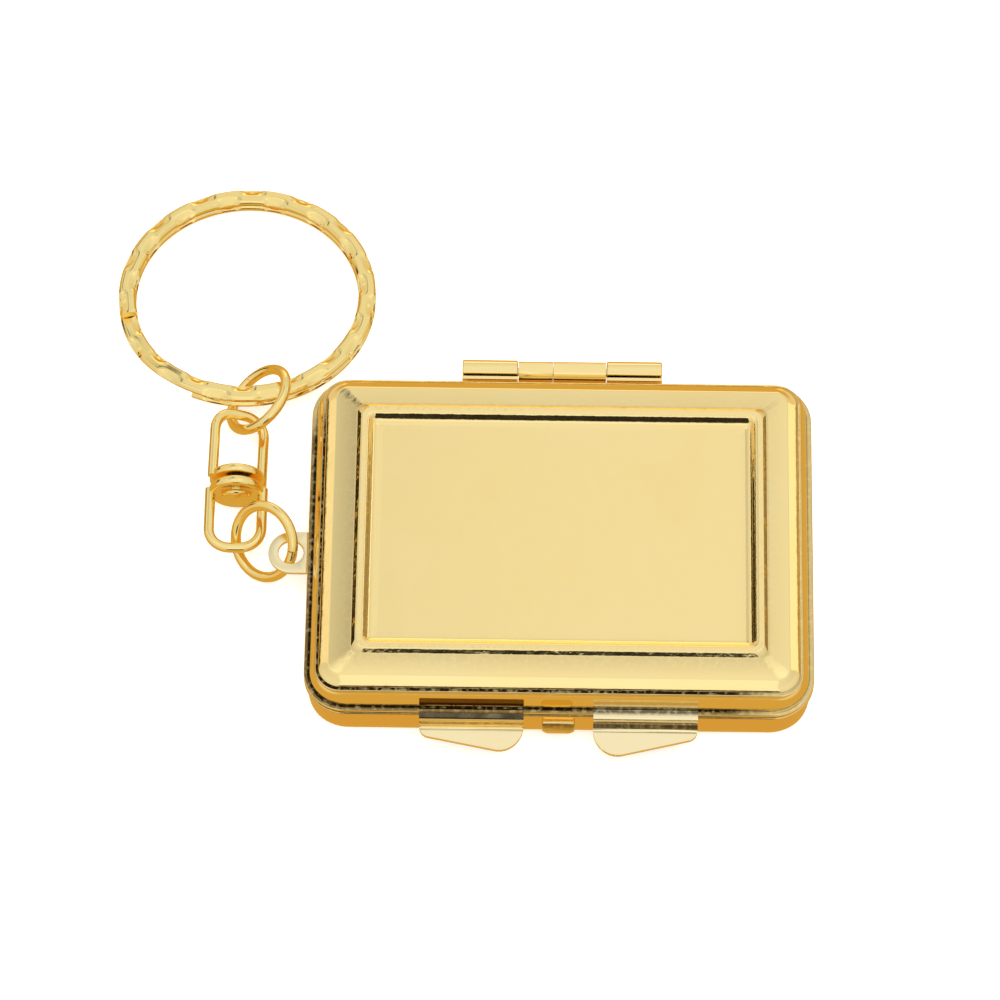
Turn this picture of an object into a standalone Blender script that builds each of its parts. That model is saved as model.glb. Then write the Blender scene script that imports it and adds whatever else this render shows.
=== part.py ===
"""Pocket pill box of stamped, gold-plated sheet metal, with a swivel chain and a split ring.

The box is 50 mm wide and stands on its flat underside with its front towards -Y.
The origin is the middle of the underside, +Z is up, and all lengths are metres.
"""
from math import cos, pi, radians, sin

import bmesh
import bpy
from mathutils import Euler, Matrix, Vector

MM = 0.001

# Case, measured over the rolled rims
CASE_W = 50.0 * MM
CASE_D = 37.0 * MM
CORNER_R = 4.2 * MM
CORNER_STEPS = 6
BASE_TOP = 4.7 * MM
LID_BOTTOM = 5.0 * MM
WALL_SETBACK = 0.35 * MM
FLOOR_T = 0.5 * MM

# Lid levels, all above the underside
CREASE_Z = 7.45 * MM
PANEL_Z = 8.25 * MM
PANEL_T = 0.5 * MM
RIDGE_Z = 9.05 * MM

# Hinge at the back
HINGE_Y = CASE_D / 2 + 1.4 * MM
HINGE_Z = 4.85 * MM
HINGE_HALF = 10.05 * MM
CENTRE_HALF = 4.4 * MM
KNUCKLE_GAP = 0.3 * MM
SEAM_X = -0.9 * MM
OUTER_KNUCKLE_R = 1.15 * MM
CENTRE_KNUCKLE_R = 1.05 * MM
PIN_R = 0.4 * MM
BORE_R = 0.68 * MM
LEAF_T = 0.35 * MM

# Front furniture: two thumb tabs, the catch and the pockets pressed in the lid's skirt
TAB_INNER_X = 3.4 * MM
TAB_OUTER_X = 13.6 * MM
TAB_T = 0.4 * MM
POCKET_DEPTH = 0.3 * MM
POCKET_LOW = 5.75 * MM
POCKET_HIGH = 6.75 * MM
NOSE_W = 3.2 * MM
NOSE_T = 0.5 * MM
NOSE_LOW = 1.6 * MM
NOSE_HIGH = 3.85 * MM
SPRING_Y = -CASE_D / 2 + 1.65 * MM
SPRING_HALF_W = 2.5 * MM

# Key lug on the left wall
LUG_X = -26.7 * MM
LUG_Y = -0.7 * MM
LUG_Z = 4.24 * MM
LUG_END_X = -28.95 * MM
LUG_HALF_W = 2.3 * MM
LUG_HOLE_R = 1.2 * MM
LUG_T = 0.4 * MM
LUG_LEG_HALF_W = 1.5 * MM
LUG_LEG_LOW = 2.9 * MM

# Chain
JUMP_R = 3.6 * MM
JUMP_WIRE_R = 0.52 * MM
LOWER_JUMP_AT = Vector((-29.45, 1.0, 3.4)) * MM
LOWER_JUMP_AXIS = Vector((-0.577, -0.503, 0.644))
UPPER_JUMP_AT = Vector((-30.57, 17.24, 3.19)) * MM
UPPER_JUMP_AXIS = Vector((-0.630, 0.184, 0.754))
SWIVEL_AT = Vector((-32.45, 7.65, 2.75)) * MM
EYE_WIRE_R = 0.52 * MM
EYE_HALF_W = 2.62 * MM
EYE_CORNER_R = 2.1 * MM
LOWER_EYE_L = 6.35 * MM
UPPER_EYE_L = 7.3 * MM
UPPER_EYE_ROLL = radians(23.8)
UPPER_EYE_LEAN = radians(-0.7)
DISC_R = 2.75 * MM
DISC_T = 0.9 * MM
DISC_GAP = 0.5 * MM
RIVET_R = 0.6 * MM
RIVET_CLEAR = 0.3 * MM
RIVET_HEAD_R = 1.5 * MM
RIVET_HEAD_T = 0.45 * MM

# Split ring, its near side lying on the upper jump ring
SPLIT_OUTER_R = 13.1 * MM
SPLIT_BAND = 1.75 * MM
SPLIT_COIL_T = 0.76 * MM
SPLIT_COIL_GAP = 0.16 * MM
SPLIT_X = -32.2 * MM
SPLIT_Y = 29.82 * MM
SPLIT_TILT = radians(5.14)
SPLIT_START = radians(192.5)
SPLIT_CROSSING = radians(46.0)
SPLIT_END_CLEAR = radians(4.0)

# Pill tray, mirror and their pads
TRAY_TOP = 4.5 * MM
TRAY_FLOOR = 1.45 * MM
TRAY_WALL = 0.8 * MM
TRAY_INSET = 1.35 * MM
TRAY_CORNER_R = 2.9 * MM
TRAY_CELLS = 3
PAD_T = 0.3 * MM
MIRROR_T = 0.9 * MM
CLEAR = 0.3 * MM

GOLD = (0.86, 0.62, 0.22, 1.0)
PALE_GOLD = (0.92, 0.76, 0.42, 1.0)
WHITE_PLASTIC = (0.88, 0.88, 0.86, 1.0)
MIRROR_GREY = (0.8, 0.82, 0.84, 1.0)
PAD_WHITE = (0.75, 0.75, 0.72, 1.0)


def clear_scene():
    for obj in list(bpy.data.objects):
        bpy.data.objects.remove(obj, do_unlink=True)


def new_collection(name):
    collection = bpy.data.collections.new(name)
    bpy.context.scene.collection.children.link(collection)
    return collection


def new_material(name, colour, roughness, metallic):
    material = bpy.data.materials.new(name)
    material.use_nodes = True
    shader = material.node_tree.nodes["Principled BSDF"]
    shader.inputs["Base Color"].default_value = colour
    shader.inputs["Roughness"].default_value = roughness
    shader.inputs["Metallic"].default_value = metallic
    return material


def gold(name):
    return new_material(name + "_gold", GOLD, 0.15, 1.0)


clear_scene()
PARTS = new_collection("pill_box")
CUTTERS = new_collection("pill_box_cutters")


def adopt(obj, name, collection, material=None):
    """Name an object, put it in one collection and give it one material."""
    obj.name = name
    obj.data.name = name
    for other in list(obj.users_collection):
        other.objects.unlink(obj)
    collection.objects.link(obj)
    obj.data.materials.clear()
    if material:
        obj.data.materials.append(material)
    return obj


def mesh_object(name, bm, collection, material=None):
    bmesh.ops.recalc_face_normals(bm, faces=bm.faces)
    mesh = bpy.data.meshes.new(name)
    bm.to_mesh(mesh)
    bm.free()
    obj = bpy.data.objects.new(name, mesh)
    collection.objects.link(obj)
    if material:
        mesh.materials.append(material)
    return obj


def smooth(obj, angle=35.0):
    obj.data.shade_smooth()
    obj.data.set_sharp_from_angle(angle=radians(angle))
    return obj


def as_cutter(obj):
    obj.hide_render = True
    obj.display_type = "WIRE"
    return obj


def boolean(obj, other, operation="DIFFERENCE"):
    modifier = obj.modifiers.new(operation.lower(), "BOOLEAN")
    modifier.operation = operation
    modifier.object = other
    modifier.solver = "EXACT"
    return modifier


def bevel(obj, width, segments=2, angle=30.0):
    modifier = obj.modifiers.new("bevel", "BEVEL")
    modifier.width = width
    modifier.segments = segments
    modifier.limit_method = "ANGLE"
    modifier.angle_limit = radians(angle)
    return modifier


def box(name, low, high, collection, material=None):
    """Axis-aligned block between two corners."""
    low, high = Vector(low), Vector(high)
    bpy.ops.mesh.primitive_cube_add(size=1.0, location=(low + high) / 2)
    obj = adopt(bpy.context.object, name, collection, material)
    obj.data.transform(Matrix.Diagonal((*(high - low), 1.0)))
    return obj


def cylinder(name, radius, depth, centre, rotation, collection, material=None, sides=32):
    bpy.ops.mesh.primitive_cylinder_add(
        vertices=sides, radius=radius, depth=depth, location=centre, rotation=rotation)
    return adopt(bpy.context.object, name, collection, material)


def along_x():
    return (0.0, pi / 2, 0.0)


def along_y():
    return (pi / 2, 0.0, 0.0)


def outline(inset, half_w=CASE_W / 2, half_d=CASE_D / 2, corner=CORNER_R):
    """Rounded rectangle, anticlockwise from above, drawn in by inset."""
    hw = half_w - inset
    hd = half_d - inset
    r = max(corner - inset, 0.35 * MM)
    points = []
    for quarter, (sx, sy) in enumerate(((1, 1), (-1, 1), (-1, -1), (1, -1))):
        for step in range(CORNER_STEPS + 1):
            a = (quarter + step / CORNER_STEPS) * pi / 2
            points.append((sx * (hw - r) + r * cos(a), sy * (hd - r) + r * sin(a)))
    return points


def stamped(name, profile, collection, material, **size):
    """Loft a closed skin through rounded rectangles; profile runs from one cap to the other."""
    bm = bmesh.new()
    rings = []
    for inset, z in profile:
        rings.append([bm.verts.new((x, y, z)) for x, y in outline(inset, **size)])
    for lower, upper in zip(rings, rings[1:]):
        for i in range(len(lower)):
            j = (i + 1) % len(lower)
            bm.faces.new((lower[i], lower[j], upper[j], upper[i]))
    bm.faces.new(rings[0])
    bm.faces.new(rings[-1])
    return mesh_object(name, bm, collection, material)


def arc_profile(centre_inset, centre_z, radius, start, end, steps):
    """Points of an arc in the inset-height plane; angles in degrees, 180 points outwards."""
    points = []
    for step in range(steps + 1):
        a = radians(start + (end - start) * step / steps)
        points.append((centre_inset + radius * cos(a), centre_z + radius * sin(a)))
    return points


def make_base_shell():
    round_r = 1.5 * MM
    inner_r = 1.0 * MM
    inner_wall = 0.95 * MM
    outside = arc_profile(WALL_SETBACK + round_r, round_r, round_r, 270, 180, 5)
    outside += [(WALL_SETBACK, BASE_TOP - 0.75 * MM), (0.12 * MM, BASE_TOP - 0.55 * MM),
                (0.0, BASE_TOP - 0.35 * MM), (0.0, BASE_TOP - 0.15 * MM), (0.1 * MM, BASE_TOP)]
    inside = [(inner_wall, BASE_TOP)]
    inside += arc_profile(inner_wall + inner_r, FLOOR_T + inner_r, inner_r, 180, 270, 4)
    return smooth(stamped("base_shell", outside + inside, PARTS, gold("base_shell")))


def make_lid_shell():
    bead = [(0.1 * MM, LID_BOTTOM), (0.0, LID_BOTTOM + 0.14 * MM), (0.0, LID_BOTTOM + 0.36 * MM),
            (0.1 * MM, LID_BOTTOM + 0.5 * MM), (0.26 * MM, LID_BOTTOM + 0.56 * MM)]
    skirt = [(0.34 * MM, 5.9 * MM), (0.5 * MM, 6.4 * MM), (0.78 * MM, 6.9 * MM),
             (1.08 * MM, 7.25 * MM), (1.27 * MM, CREASE_Z - 0.08 * MM), (1.3 * MM, CREASE_Z)]
    shoulder = arc_profile(2.35 * MM, CREASE_Z + 0.15 * MM, 1.0 * MM, 172, 105, 4)
    shoulder = [(inset, CREASE_Z + (z - CREASE_Z) * 0.74) for inset, z in shoulder]
    ridge = [(4.6 * MM, 8.64 * MM), (4.85 * MM, 8.78 * MM), (5.1 * MM, RIDGE_Z - 0.06 * MM),
             (5.35 * MM, RIDGE_Z), (5.6 * MM, RIDGE_Z - 0.06 * MM), (5.85 * MM, 8.74 * MM),
             (6.1 * MM, 8.44 * MM), (6.45 * MM, PANEL_Z)]
    under = [(6.7 * MM, PANEL_Z - PANEL_T), (2.25 * MM, PANEL_Z - PANEL_T),
             (1.95 * MM, 7.35 * MM), (1.35 * MM, 6.4 * MM), (1.0 * MM, 5.6 * MM),
             (0.95 * MM, LID_BOTTOM)]
    lid = stamped("lid_shell", list(reversed(bead + skirt + shoulder + ridge)) + list(reversed(under)),
                  PARTS, gold("lid_shell"))
    return smooth(lid)


def skirt_pocket(name, x0, x1):
    """Block that sinks a pocket into the lid's front skirt."""
    bottom_y = -CASE_D / 2 + 0.34 * MM
    return as_cutter(box(name, (x0, bottom_y - 1.0 * MM, POCKET_LOW),
                         (x1, bottom_y + POCKET_DEPTH, POCKET_HIGH), CUTTERS))


def cut_pockets(lid):
    boolean(lid, skirt_pocket("left_pocket_cutter", -TAB_OUTER_X, -TAB_INNER_X))
    boolean(lid, skirt_pocket("right_pocket_cutter", TAB_INNER_X, TAB_OUTER_X))
    boolean(lid, skirt_pocket("centre_pocket_cutter", -NOSE_W / 2, NOSE_W / 2))


def tube_along_x(name, x0, x1, radius, collection, material, sides=28):
    """Knuckle blank with its bore, turned about the hinge axis."""
    centre = ((x0 + x1) / 2, HINGE_Y, HINGE_Z)
    return cylinder(name, radius, x1 - x0, centre, along_x(), collection, material, sides)


def make_base_leaf():
    material = gold("base_hinge_leaf")
    plate_y = CASE_D / 2 - WALL_SETBACK + CLEAR
    leaf = box("base_hinge_leaf", (-HINGE_HALF + 0.4 * MM, plate_y, 1.9 * MM),
               (HINGE_HALF - 0.4 * MM, plate_y + LEAF_T, 3.7 * MM), PARTS, material)
    for side in (-1, 1):
        inner = CENTRE_HALF + KNUCKLE_GAP
        x0, x1 = sorted((side * inner, side * HINGE_HALF))
        name = "left" if side < 0 else "right"
        web = as_cutter(box(name + "_base_web", (x0, plate_y + 0.02 * MM, 3.3 * MM),
                            (x1, HINGE_Y, 4.1 * MM), CUTTERS))
        knuckle = as_cutter(tube_along_x(name + "_base_knuckle", x0, x1, OUTER_KNUCKLE_R, CUTTERS, None))
        bevel(knuckle, 0.2 * MM, 2)
        boolean(leaf, web, "UNION")
        boolean(leaf, knuckle, "UNION")
    reach = HINGE_HALF + MM
    bore = as_cutter(tube_along_x("base_leaf_bore", -reach, reach, BORE_R, CUTTERS, None, 20))
    boolean(leaf, bore)
    return smooth(leaf)


def make_lid_leaf():
    material = gold("lid_hinge_leaf")
    leaf = tube_along_x("lid_hinge_leaf", -CENTRE_HALF, CENTRE_HALF, CENTRE_KNUCKLE_R, PARTS, material)
    skirt_foot = Vector((0.0, CASE_D / 2 - 0.1 * MM + CLEAR, LID_BOTTOM + 0.8 * MM))
    low, high = -0.95 * MM, 1.6 * MM
    plate = box("lid_leaf_plate", (-CENTRE_HALF, 0.0, low), (CENTRE_HALF, LEAF_T, high), CUTTERS)
    plate.data.transform(Matrix.Translation(plate.location))
    plate.location = skirt_foot
    plate.rotation_euler = (radians(30.0), 0.0, 0.0)
    boolean(leaf, as_cutter(plate), "UNION")
    seam = box("lid_leaf_seam", (SEAM_X - 0.1 * MM, HINGE_Y - 0.9 * MM, HINGE_Z + 0.78 * MM),
               (SEAM_X + 0.1 * MM, HINGE_Y + 2.0 * MM, HINGE_Z + 2.0 * MM), CUTTERS)
    boolean(leaf, as_cutter(seam))
    reach = CENTRE_HALF + MM
    bore = as_cutter(tube_along_x("lid_leaf_bore", -reach, reach, BORE_R, CUTTERS, None, 20))
    boolean(leaf, bore)
    return smooth(leaf)


def make_hinge_pin():
    pin = tube_along_x("hinge_pin", -HINGE_HALF, HINGE_HALF, PIN_R, PARTS, gold("hinge_pin"), 20)
    return smooth(pin)


def tab_pad_outline(side):
    """Plan of a thumb tab's pad: short on its outer side, long and round on its inner side."""
    inner = TAB_INNER_X
    outer = TAB_OUTER_X
    inner_r = 2.4 * MM
    outer_r = 1.0 * MM
    short = 1.55 * MM
    long = 3.25 * MM
    slope = (long - short) / (outer - inner)
    points = [(inner, 0.0)]
    for step in range(7):
        a = pi + step / 6 * pi / 2
        points.append((inner + inner_r + inner_r * cos(a), -long + inner_r + inner_r * sin(a)))
    for step in range(5):
        a = 1.5 * pi + step / 4 * pi / 2
        points.append((outer - outer_r + outer_r * cos(a),
                       -short + outer_r + outer_r * sin(a) - slope * outer_r))
    points.append((outer, 0.0))
    return [(side * x, y) for x, y in points]


def flat_plate(name, points, thickness, collection, material):
    """Closed 2D curve filled on both sides and extruded, made a mesh with its caps welded."""
    curve = bpy.data.curves.new(name + "_outline", "CURVE")
    curve.dimensions = "2D"
    curve.fill_mode = "BOTH"
    curve.extrude = thickness / 2
    spline = curve.splines.new("POLY")
    spline.points.add(len(points) - 1)
    for point, (x, y) in zip(spline.points, points):
        point.co = (x, y, 0.0, 1.0)
    spline.use_cyclic_u = True
    source = bpy.data.objects.new(name + "_source", curve)
    bpy.context.scene.collection.objects.link(source)
    return curve_to_mesh(source, name, collection, material)


def curve_to_mesh(source, name, collection, material):
    """Replace a curve object by a welded mesh object in the same place."""
    bpy.context.view_layer.update()
    evaluated = source.evaluated_get(bpy.context.evaluated_depsgraph_get())
    mesh = bpy.data.meshes.new_from_object(evaluated)
    bm = bmesh.new()
    bm.from_mesh(mesh)
    bmesh.ops.remove_doubles(bm, verts=bm.verts, dist=0.002 * MM)
    bmesh.ops.recalc_face_normals(bm, faces=bm.faces)
    bm.to_mesh(mesh)
    bm.free()
    obj = bpy.data.objects.new(name, mesh)
    obj.matrix_world = source.matrix_world
    collection.objects.link(obj)
    mesh.materials.clear()
    if material:
        mesh.materials.append(material)
    bpy.data.objects.remove(source, do_unlink=True)
    return obj


def bent_strip(name, path, x0, x1, collection, material):
    """Sheet-metal strip with the given side section (y, z), TAB_T thick towards its right-hand side."""
    bm = bmesh.new()
    near = []
    far = []
    for i, (y, z) in enumerate(path):
        before = Vector(path[max(i - 1, 0)])
        after = Vector(path[min(i + 1, len(path) - 1)])
        along = (after - before).normalized()
        side = Vector((along.y, -along.x))
        near.append((y, z))
        far.append((y + side.x * TAB_T, z + side.y * TAB_T))
    section = near + far[::-1]
    left = [bm.verts.new((x0, y, z)) for y, z in section]
    right = [bm.verts.new((x1, y, z)) for y, z in section]
    for i in range(len(section)):
        j = (i + 1) % len(section)
        bm.faces.new((left[i], left[j], right[j], right[i]))
    bm.faces.new(left)
    bm.faces.new(right)
    return mesh_object(name, bm, collection, material)


def make_thumb_tab(name, side, path):
    """A strip bent to the given section, trimmed in plan to the pad's outline."""
    x0, x1 = sorted((side * TAB_INNER_X, side * TAB_OUTER_X))
    strip = bent_strip(name, path, x0, x1, PARTS, gold(name))
    front = -CASE_D / 2 - 0.35 * MM
    plan = [(x, y + front) for x, y in tab_pad_outline(side)]
    plan = [(x0 if side > 0 else x1, 0.0)] + plan + [(x1 if side > 0 else x0, 0.0)]
    trim = flat_plate(name + "_trim", plan, 20.0 * MM, CUTTERS, None)
    trim.location.z = 4.0 * MM
    boolean(strip, as_cutter(trim), "INTERSECT")
    return smooth(strip)


def make_lid_tab():
    """Right tab: its strip stands in the lid's pocket and turns out below the parting line."""
    y = -CASE_D / 2
    path = [(y + 0.3 * MM - CLEAR - TAB_T, 6.6 * MM), (y - 0.42 * MM, 5.9 * MM), (y - 0.7 * MM, 5.6 * MM),
            (y - 0.7 * MM, 4.6 * MM), (y - 0.78 * MM, 4.15 * MM), (y - 1.1 * MM, 3.75 * MM),
            (y - 1.7 * MM, 3.5 * MM), (y - 4.2 * MM, 2.7 * MM)]
    return make_thumb_tab("lid_thumb_tab", 1, path[::-1])


def make_base_tab():
    """Left tab: its lip stands in front of the closed lid's bead, and its pad turns out below it."""
    y = -CASE_D / 2
    path = [(y - CLEAR - TAB_T, 5.6 * MM), (y - CLEAR - TAB_T, 4.6 * MM),
            (y - 0.5 * MM - TAB_T, 4.15 * MM), (y - 1.1 * MM - TAB_T, 3.85 * MM),
            (y - 4.2 * MM, 2.9 * MM)]
    return make_thumb_tab("base_thumb_tab", -1, path[::-1])


def make_catch_nose():
    """Block on the middle of the base's front wall, its lower corners cut off."""
    wall = -CASE_D / 2 + WALL_SETBACK - CLEAR
    half = NOSE_W / 2
    cut = 0.45 * MM
    front = [(-half + cut, NOSE_LOW), (half - cut, NOSE_LOW), (half, NOSE_LOW + cut), (half, NOSE_HIGH),
             (-half, NOSE_HIGH), (-half, NOSE_LOW + cut)]
    nose = flat_plate("catch_nose", front, NOSE_T, PARTS, gold("catch_nose"))
    nose.data.transform(Matrix.Rotation(pi / 2, 4, "X"))
    nose.location.y = wall - NOSE_T / 2
    bevel(nose, 0.15 * MM, 2)
    return smooth(nose)


def make_catch_spring():
    """Leaf spring behind the lid's front skirt, with a dimple that snaps over the base's rim."""
    y = SPRING_Y
    path = [(y, 3.0 * MM), (y - 0.2 * MM, 3.4 * MM), (y, 3.8 * MM), (y, 5.2 * MM),
            (y + 0.5 * MM, 6.2 * MM), (y + 0.9 * MM, 7.2 * MM)]
    material = new_material("catch_spring_steel", (0.7, 0.66, 0.55, 1.0), 0.25, 1.0)
    return smooth(bent_strip("catch_spring", path, -SPRING_HALF_W, SPRING_HALF_W, PARTS, material))


def make_key_lug():
    """Flat lug with a round outer end and a leg that is welded to the left wall."""
    material = new_material("key_lug_gold", PALE_GOLD, 0.2, 1.0)
    plate_end = -CASE_W / 2 - CLEAR
    points = []
    steps = 12
    for step in range(steps + 1):
        a = pi / 2 + pi * step / steps
        points.append((LUG_END_X + LUG_HALF_W + LUG_HALF_W * cos(a), LUG_Y + LUG_HALF_W * sin(a)))
    points += [(plate_end, LUG_Y - LUG_HALF_W), (plate_end, LUG_Y + LUG_HALF_W)]
    lug = flat_plate("key_lug", points, LUG_T, PARTS, material)
    lug.location.z = LUG_Z
    leg = as_cutter(box("key_lug_leg", (plate_end - LUG_T, LUG_Y - LUG_LEG_HALF_W, LUG_LEG_LOW),
                        (plate_end - 0.01 * MM, LUG_Y + LUG_LEG_HALF_W, LUG_Z), CUTTERS))
    boolean(lug, leg, "UNION")
    hole = as_cutter(cylinder("key_lug_hole", LUG_HOLE_R, 4 * MM, (LUG_X, LUG_Y, LUG_Z + 1.6 * MM),
                              (0, 0, 0), CUTTERS, None, 28))
    boolean(lug, hole)
    return smooth(lug)


def joint_empty(name, location):
    empty = bpy.data.objects.new(name, None)
    empty.empty_display_size = 2 * MM
    empty.location = location
    PARTS.objects.link(empty)
    return empty


def put_under(obj, empty):
    """Parent an object to an empty and leave it where it is."""
    bpy.context.view_layer.update()
    obj.parent = empty
    obj.matrix_parent_inverse = empty.matrix_world.inverted()


def make_jump_ring(name, centre, axis):
    bpy.ops.mesh.primitive_torus_add(
        major_radius=JUMP_R, minor_radius=JUMP_WIRE_R, major_segments=40, minor_segments=10,
        location=centre, rotation=axis.to_track_quat("Z", "Y").to_euler())
    return smooth(adopt(bpy.context.object, name, PARTS, gold(name)), 60)


def make_eye(name, length, direction, turn):
    """Swivel half: a disc with a bent wire loop, its rivet hole on the swivel axis.

    It is made along +Y or -Y about its own origin and then turned into place.
    """
    disc_y = direction * (DISC_GAP + DISC_T) / 2
    curve = bpy.data.curves.new(name + "_wire", "CURVE")
    curve.dimensions = "3D"
    curve.bevel_depth = EYE_WIRE_R
    curve.bevel_resolution = 2
    curve.use_fill_caps = True
    points = [(-EYE_HALF_W, disc_y)]
    for start in (pi, pi / 2):
        sx = -1 if start > 2 else 1
        for step in range(7):
            a = start - step / 6 * pi / 2
            points.append((sx * (EYE_HALF_W - EYE_CORNER_R) + EYE_CORNER_R * cos(a),
                           disc_y + direction * (length - EYE_CORNER_R + EYE_CORNER_R * sin(a))))
    points.append((EYE_HALF_W, disc_y))
    spline = curve.splines.new("POLY")
    spline.points.add(len(points) - 1)
    for point, (x, y) in zip(spline.points, points):
        point.co = (x, y, 0.0, 1.0)
    source = bpy.data.objects.new(name + "_source", curve)
    bpy.context.scene.collection.objects.link(source)
    eye = curve_to_mesh(source, name, PARTS, gold(name))
    disc = as_cutter(cylinder(name + "_disc", DISC_R, DISC_T, (0, disc_y, 0), along_y(), CUTTERS))
    bevel(disc, 0.18 * MM, 2)
    boolean(eye, disc, "UNION")
    hole = as_cutter(cylinder(name + "_hole", RIVET_R + RIVET_CLEAR, 3 * MM, (0, disc_y, 0), along_y(),
                              CUTTERS, None, 20))
    boolean(eye, hole)
    frame = joint_empty(name + "_axis", SWIVEL_AT)
    for piece in (eye, disc, hole):
        piece.parent = frame
    frame.rotation_euler = turn
    return smooth(eye, 50)


def make_rivet():
    """Rivet on the lower half's axis, with a round head inside each half."""
    reach = DISC_GAP / 2 + DISC_T + CLEAR
    bm_profile = [(0.0, reach + RIVET_HEAD_T), (RIVET_HEAD_R * 0.75, reach + RIVET_HEAD_T * 0.8),
                  (RIVET_HEAD_R, reach + RIVET_HEAD_T * 0.3), (RIVET_HEAD_R, reach), (RIVET_R, reach),
                  (RIVET_R, -reach), (RIVET_HEAD_R, -reach), (RIVET_HEAD_R, -reach - RIVET_HEAD_T * 0.3),
                  (RIVET_HEAD_R * 0.75, -reach - RIVET_HEAD_T * 0.8), (0.0, -reach - RIVET_HEAD_T)]
    bm = bmesh.new()
    verts = [bm.verts.new((x, 0.0, z)) for x, z in bm_profile]
    for a, b in zip(verts, verts[1:]):
        bm.edges.new((a, b))
    mesh = bpy.data.meshes.new("swivel_rivet")
    bm.to_mesh(mesh)
    bm.free()
    rivet = bpy.data.objects.new("swivel_rivet", mesh)
    PARTS.objects.link(rivet)
    mesh.materials.append(gold("swivel_rivet"))
    screw = rivet.modifiers.new("turned", "SCREW")
    screw.steps = 24
    screw.render_steps = 24
    screw.use_merge_vertices = True
    screw.merge_threshold = 0.001 * MM
    rivet.rotation_euler = (-pi / 2, 0.0, 0.0)
    rivet.location = SWIVEL_AT
    return rivet


def split_ring_point(turn):
    """Centre line of the flattened wire: an upper turn, a crossing and a lower turn."""
    lower_start = 2 * pi - SPLIT_CROSSING - SPLIT_END_CLEAR
    t = min(max((turn - lower_start) / SPLIT_CROSSING, 0.0), 1.0)
    ease = t * t * (3 - 2 * t)
    half_pitch = (SPLIT_COIL_T + SPLIT_COIL_GAP) / 2
    radius = SPLIT_OUTER_R - SPLIT_BAND / 2
    a = SPLIT_START - turn
    return (radius * cos(a), radius * sin(a), half_pitch * (1 - 2 * ease))


def make_split_ring():
    lower_start = 2 * pi - SPLIT_CROSSING - SPLIT_END_CLEAR
    total = lower_start + 2 * pi - SPLIT_END_CLEAR
    steps = 110
    curve = bpy.data.curves.new("split_ring_wire", "CURVE")
    curve.dimensions = "3D"
    curve.twist_mode = "Z_UP"
    curve.use_fill_caps = True
    spline = curve.splines.new("POLY")
    spline.points.add(steps)
    for i, point in enumerate(spline.points):
        point.co = (*split_ring_point(total * i / steps), 1.0)
    section = bpy.data.curves.new("split_ring_section", "CURVE")
    section.dimensions = "2D"
    flat = section.splines.new("POLY")
    half_w = SPLIT_BAND / 2
    half_t = SPLIT_COIL_T / 2
    cut = 0.25 * MM
    corners = [(half_w, -half_t + cut), (half_w, half_t - cut), (half_w - cut, half_t),
               (-half_w + cut, half_t), (-half_w, half_t - cut), (-half_w, -half_t + cut),
               (-half_w + cut, -half_t), (half_w - cut, -half_t)]
    flat.points.add(len(corners) - 1)
    for point, (x, y) in zip(flat.points, corners):
        point.co = (x, y, 0.0, 1.0)
    flat.use_cyclic_u = True
    guide = bpy.data.objects.new("split_ring_section", section)
    CUTTERS.objects.link(as_cutter(guide))
    curve.bevel_mode = "OBJECT"
    curve.bevel_object = guide
    source = bpy.data.objects.new("split_ring_source", curve)
    bpy.context.scene.collection.objects.link(source)
    ring = curve_to_mesh(source, "split_ring", PARTS, gold("split_ring"))
    half_height = SPLIT_COIL_T + SPLIT_COIL_GAP / 2
    ring.rotation_euler = (-SPLIT_TILT, 0.0, 0.0)
    ring.location = (SPLIT_X, SPLIT_Y, half_height * cos(SPLIT_TILT) + SPLIT_OUTER_R * sin(SPLIT_TILT))
    return smooth(ring, 50)


def make_tray():
    """Moulded insert: one block with a row of round-cornered compartments."""
    material = new_material("pill_tray_plastic", WHITE_PLASTIC, 0.35, 0.0)
    bottom = FLOOR_T + CLEAR + PAD_T + CLEAR
    size = {"half_w": CASE_W / 2 - TRAY_INSET, "half_d": CASE_D / 2 - TRAY_INSET, "corner": TRAY_CORNER_R}
    tray = stamped("pill_tray", [(0.75 * MM, bottom), (0.0, bottom + 0.75 * MM), (0.0, TRAY_TOP)],
                   PARTS, material, **size)
    inner_w = CASE_W - 2 * TRAY_INSET - 2 * TRAY_WALL
    front = -CASE_D / 2 + TRAY_INSET + 2.2 * MM
    back = CASE_D / 2 - TRAY_INSET - TRAY_WALL
    cell_w = (inner_w - (TRAY_CELLS - 1) * TRAY_WALL) / TRAY_CELLS
    for index in range(TRAY_CELLS):
        centre_x = -inner_w / 2 + cell_w / 2 + index * (cell_w + TRAY_WALL)
        cell = stamped("tray_cell_%d" % (index + 1),
                       [(0.8 * MM, TRAY_FLOOR), (0.2 * MM, TRAY_FLOOR + 0.6 * MM), (0.0, TRAY_TOP + MM)],
                       CUTTERS, None, half_w=cell_w / 2, half_d=(back - front) / 2, corner=2.0 * MM)
        cell.location = (centre_x, (front + back) / 2, 0.0)
        boolean(tray, as_cutter(cell))
    notch = box("tray_catch_notch", (-SPRING_HALF_W - CLEAR, -CASE_D / 2, 2.6 * MM),
                (SPRING_HALF_W + CLEAR, SPRING_Y + TAB_T + CLEAR, TRAY_TOP + MM), CUTTERS)
    boolean(tray, as_cutter(notch))
    return smooth(tray, 40)


def make_slab(name, half_w, half_d, corner, low, high, colour, roughness, metallic):
    material = new_material(name + "_finish", colour, roughness, metallic)
    size = {"half_w": half_w, "half_d": half_d, "corner": corner}
    return stamped(name, [(0.0, low), (0.0, high)], PARTS, material, **size)


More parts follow.
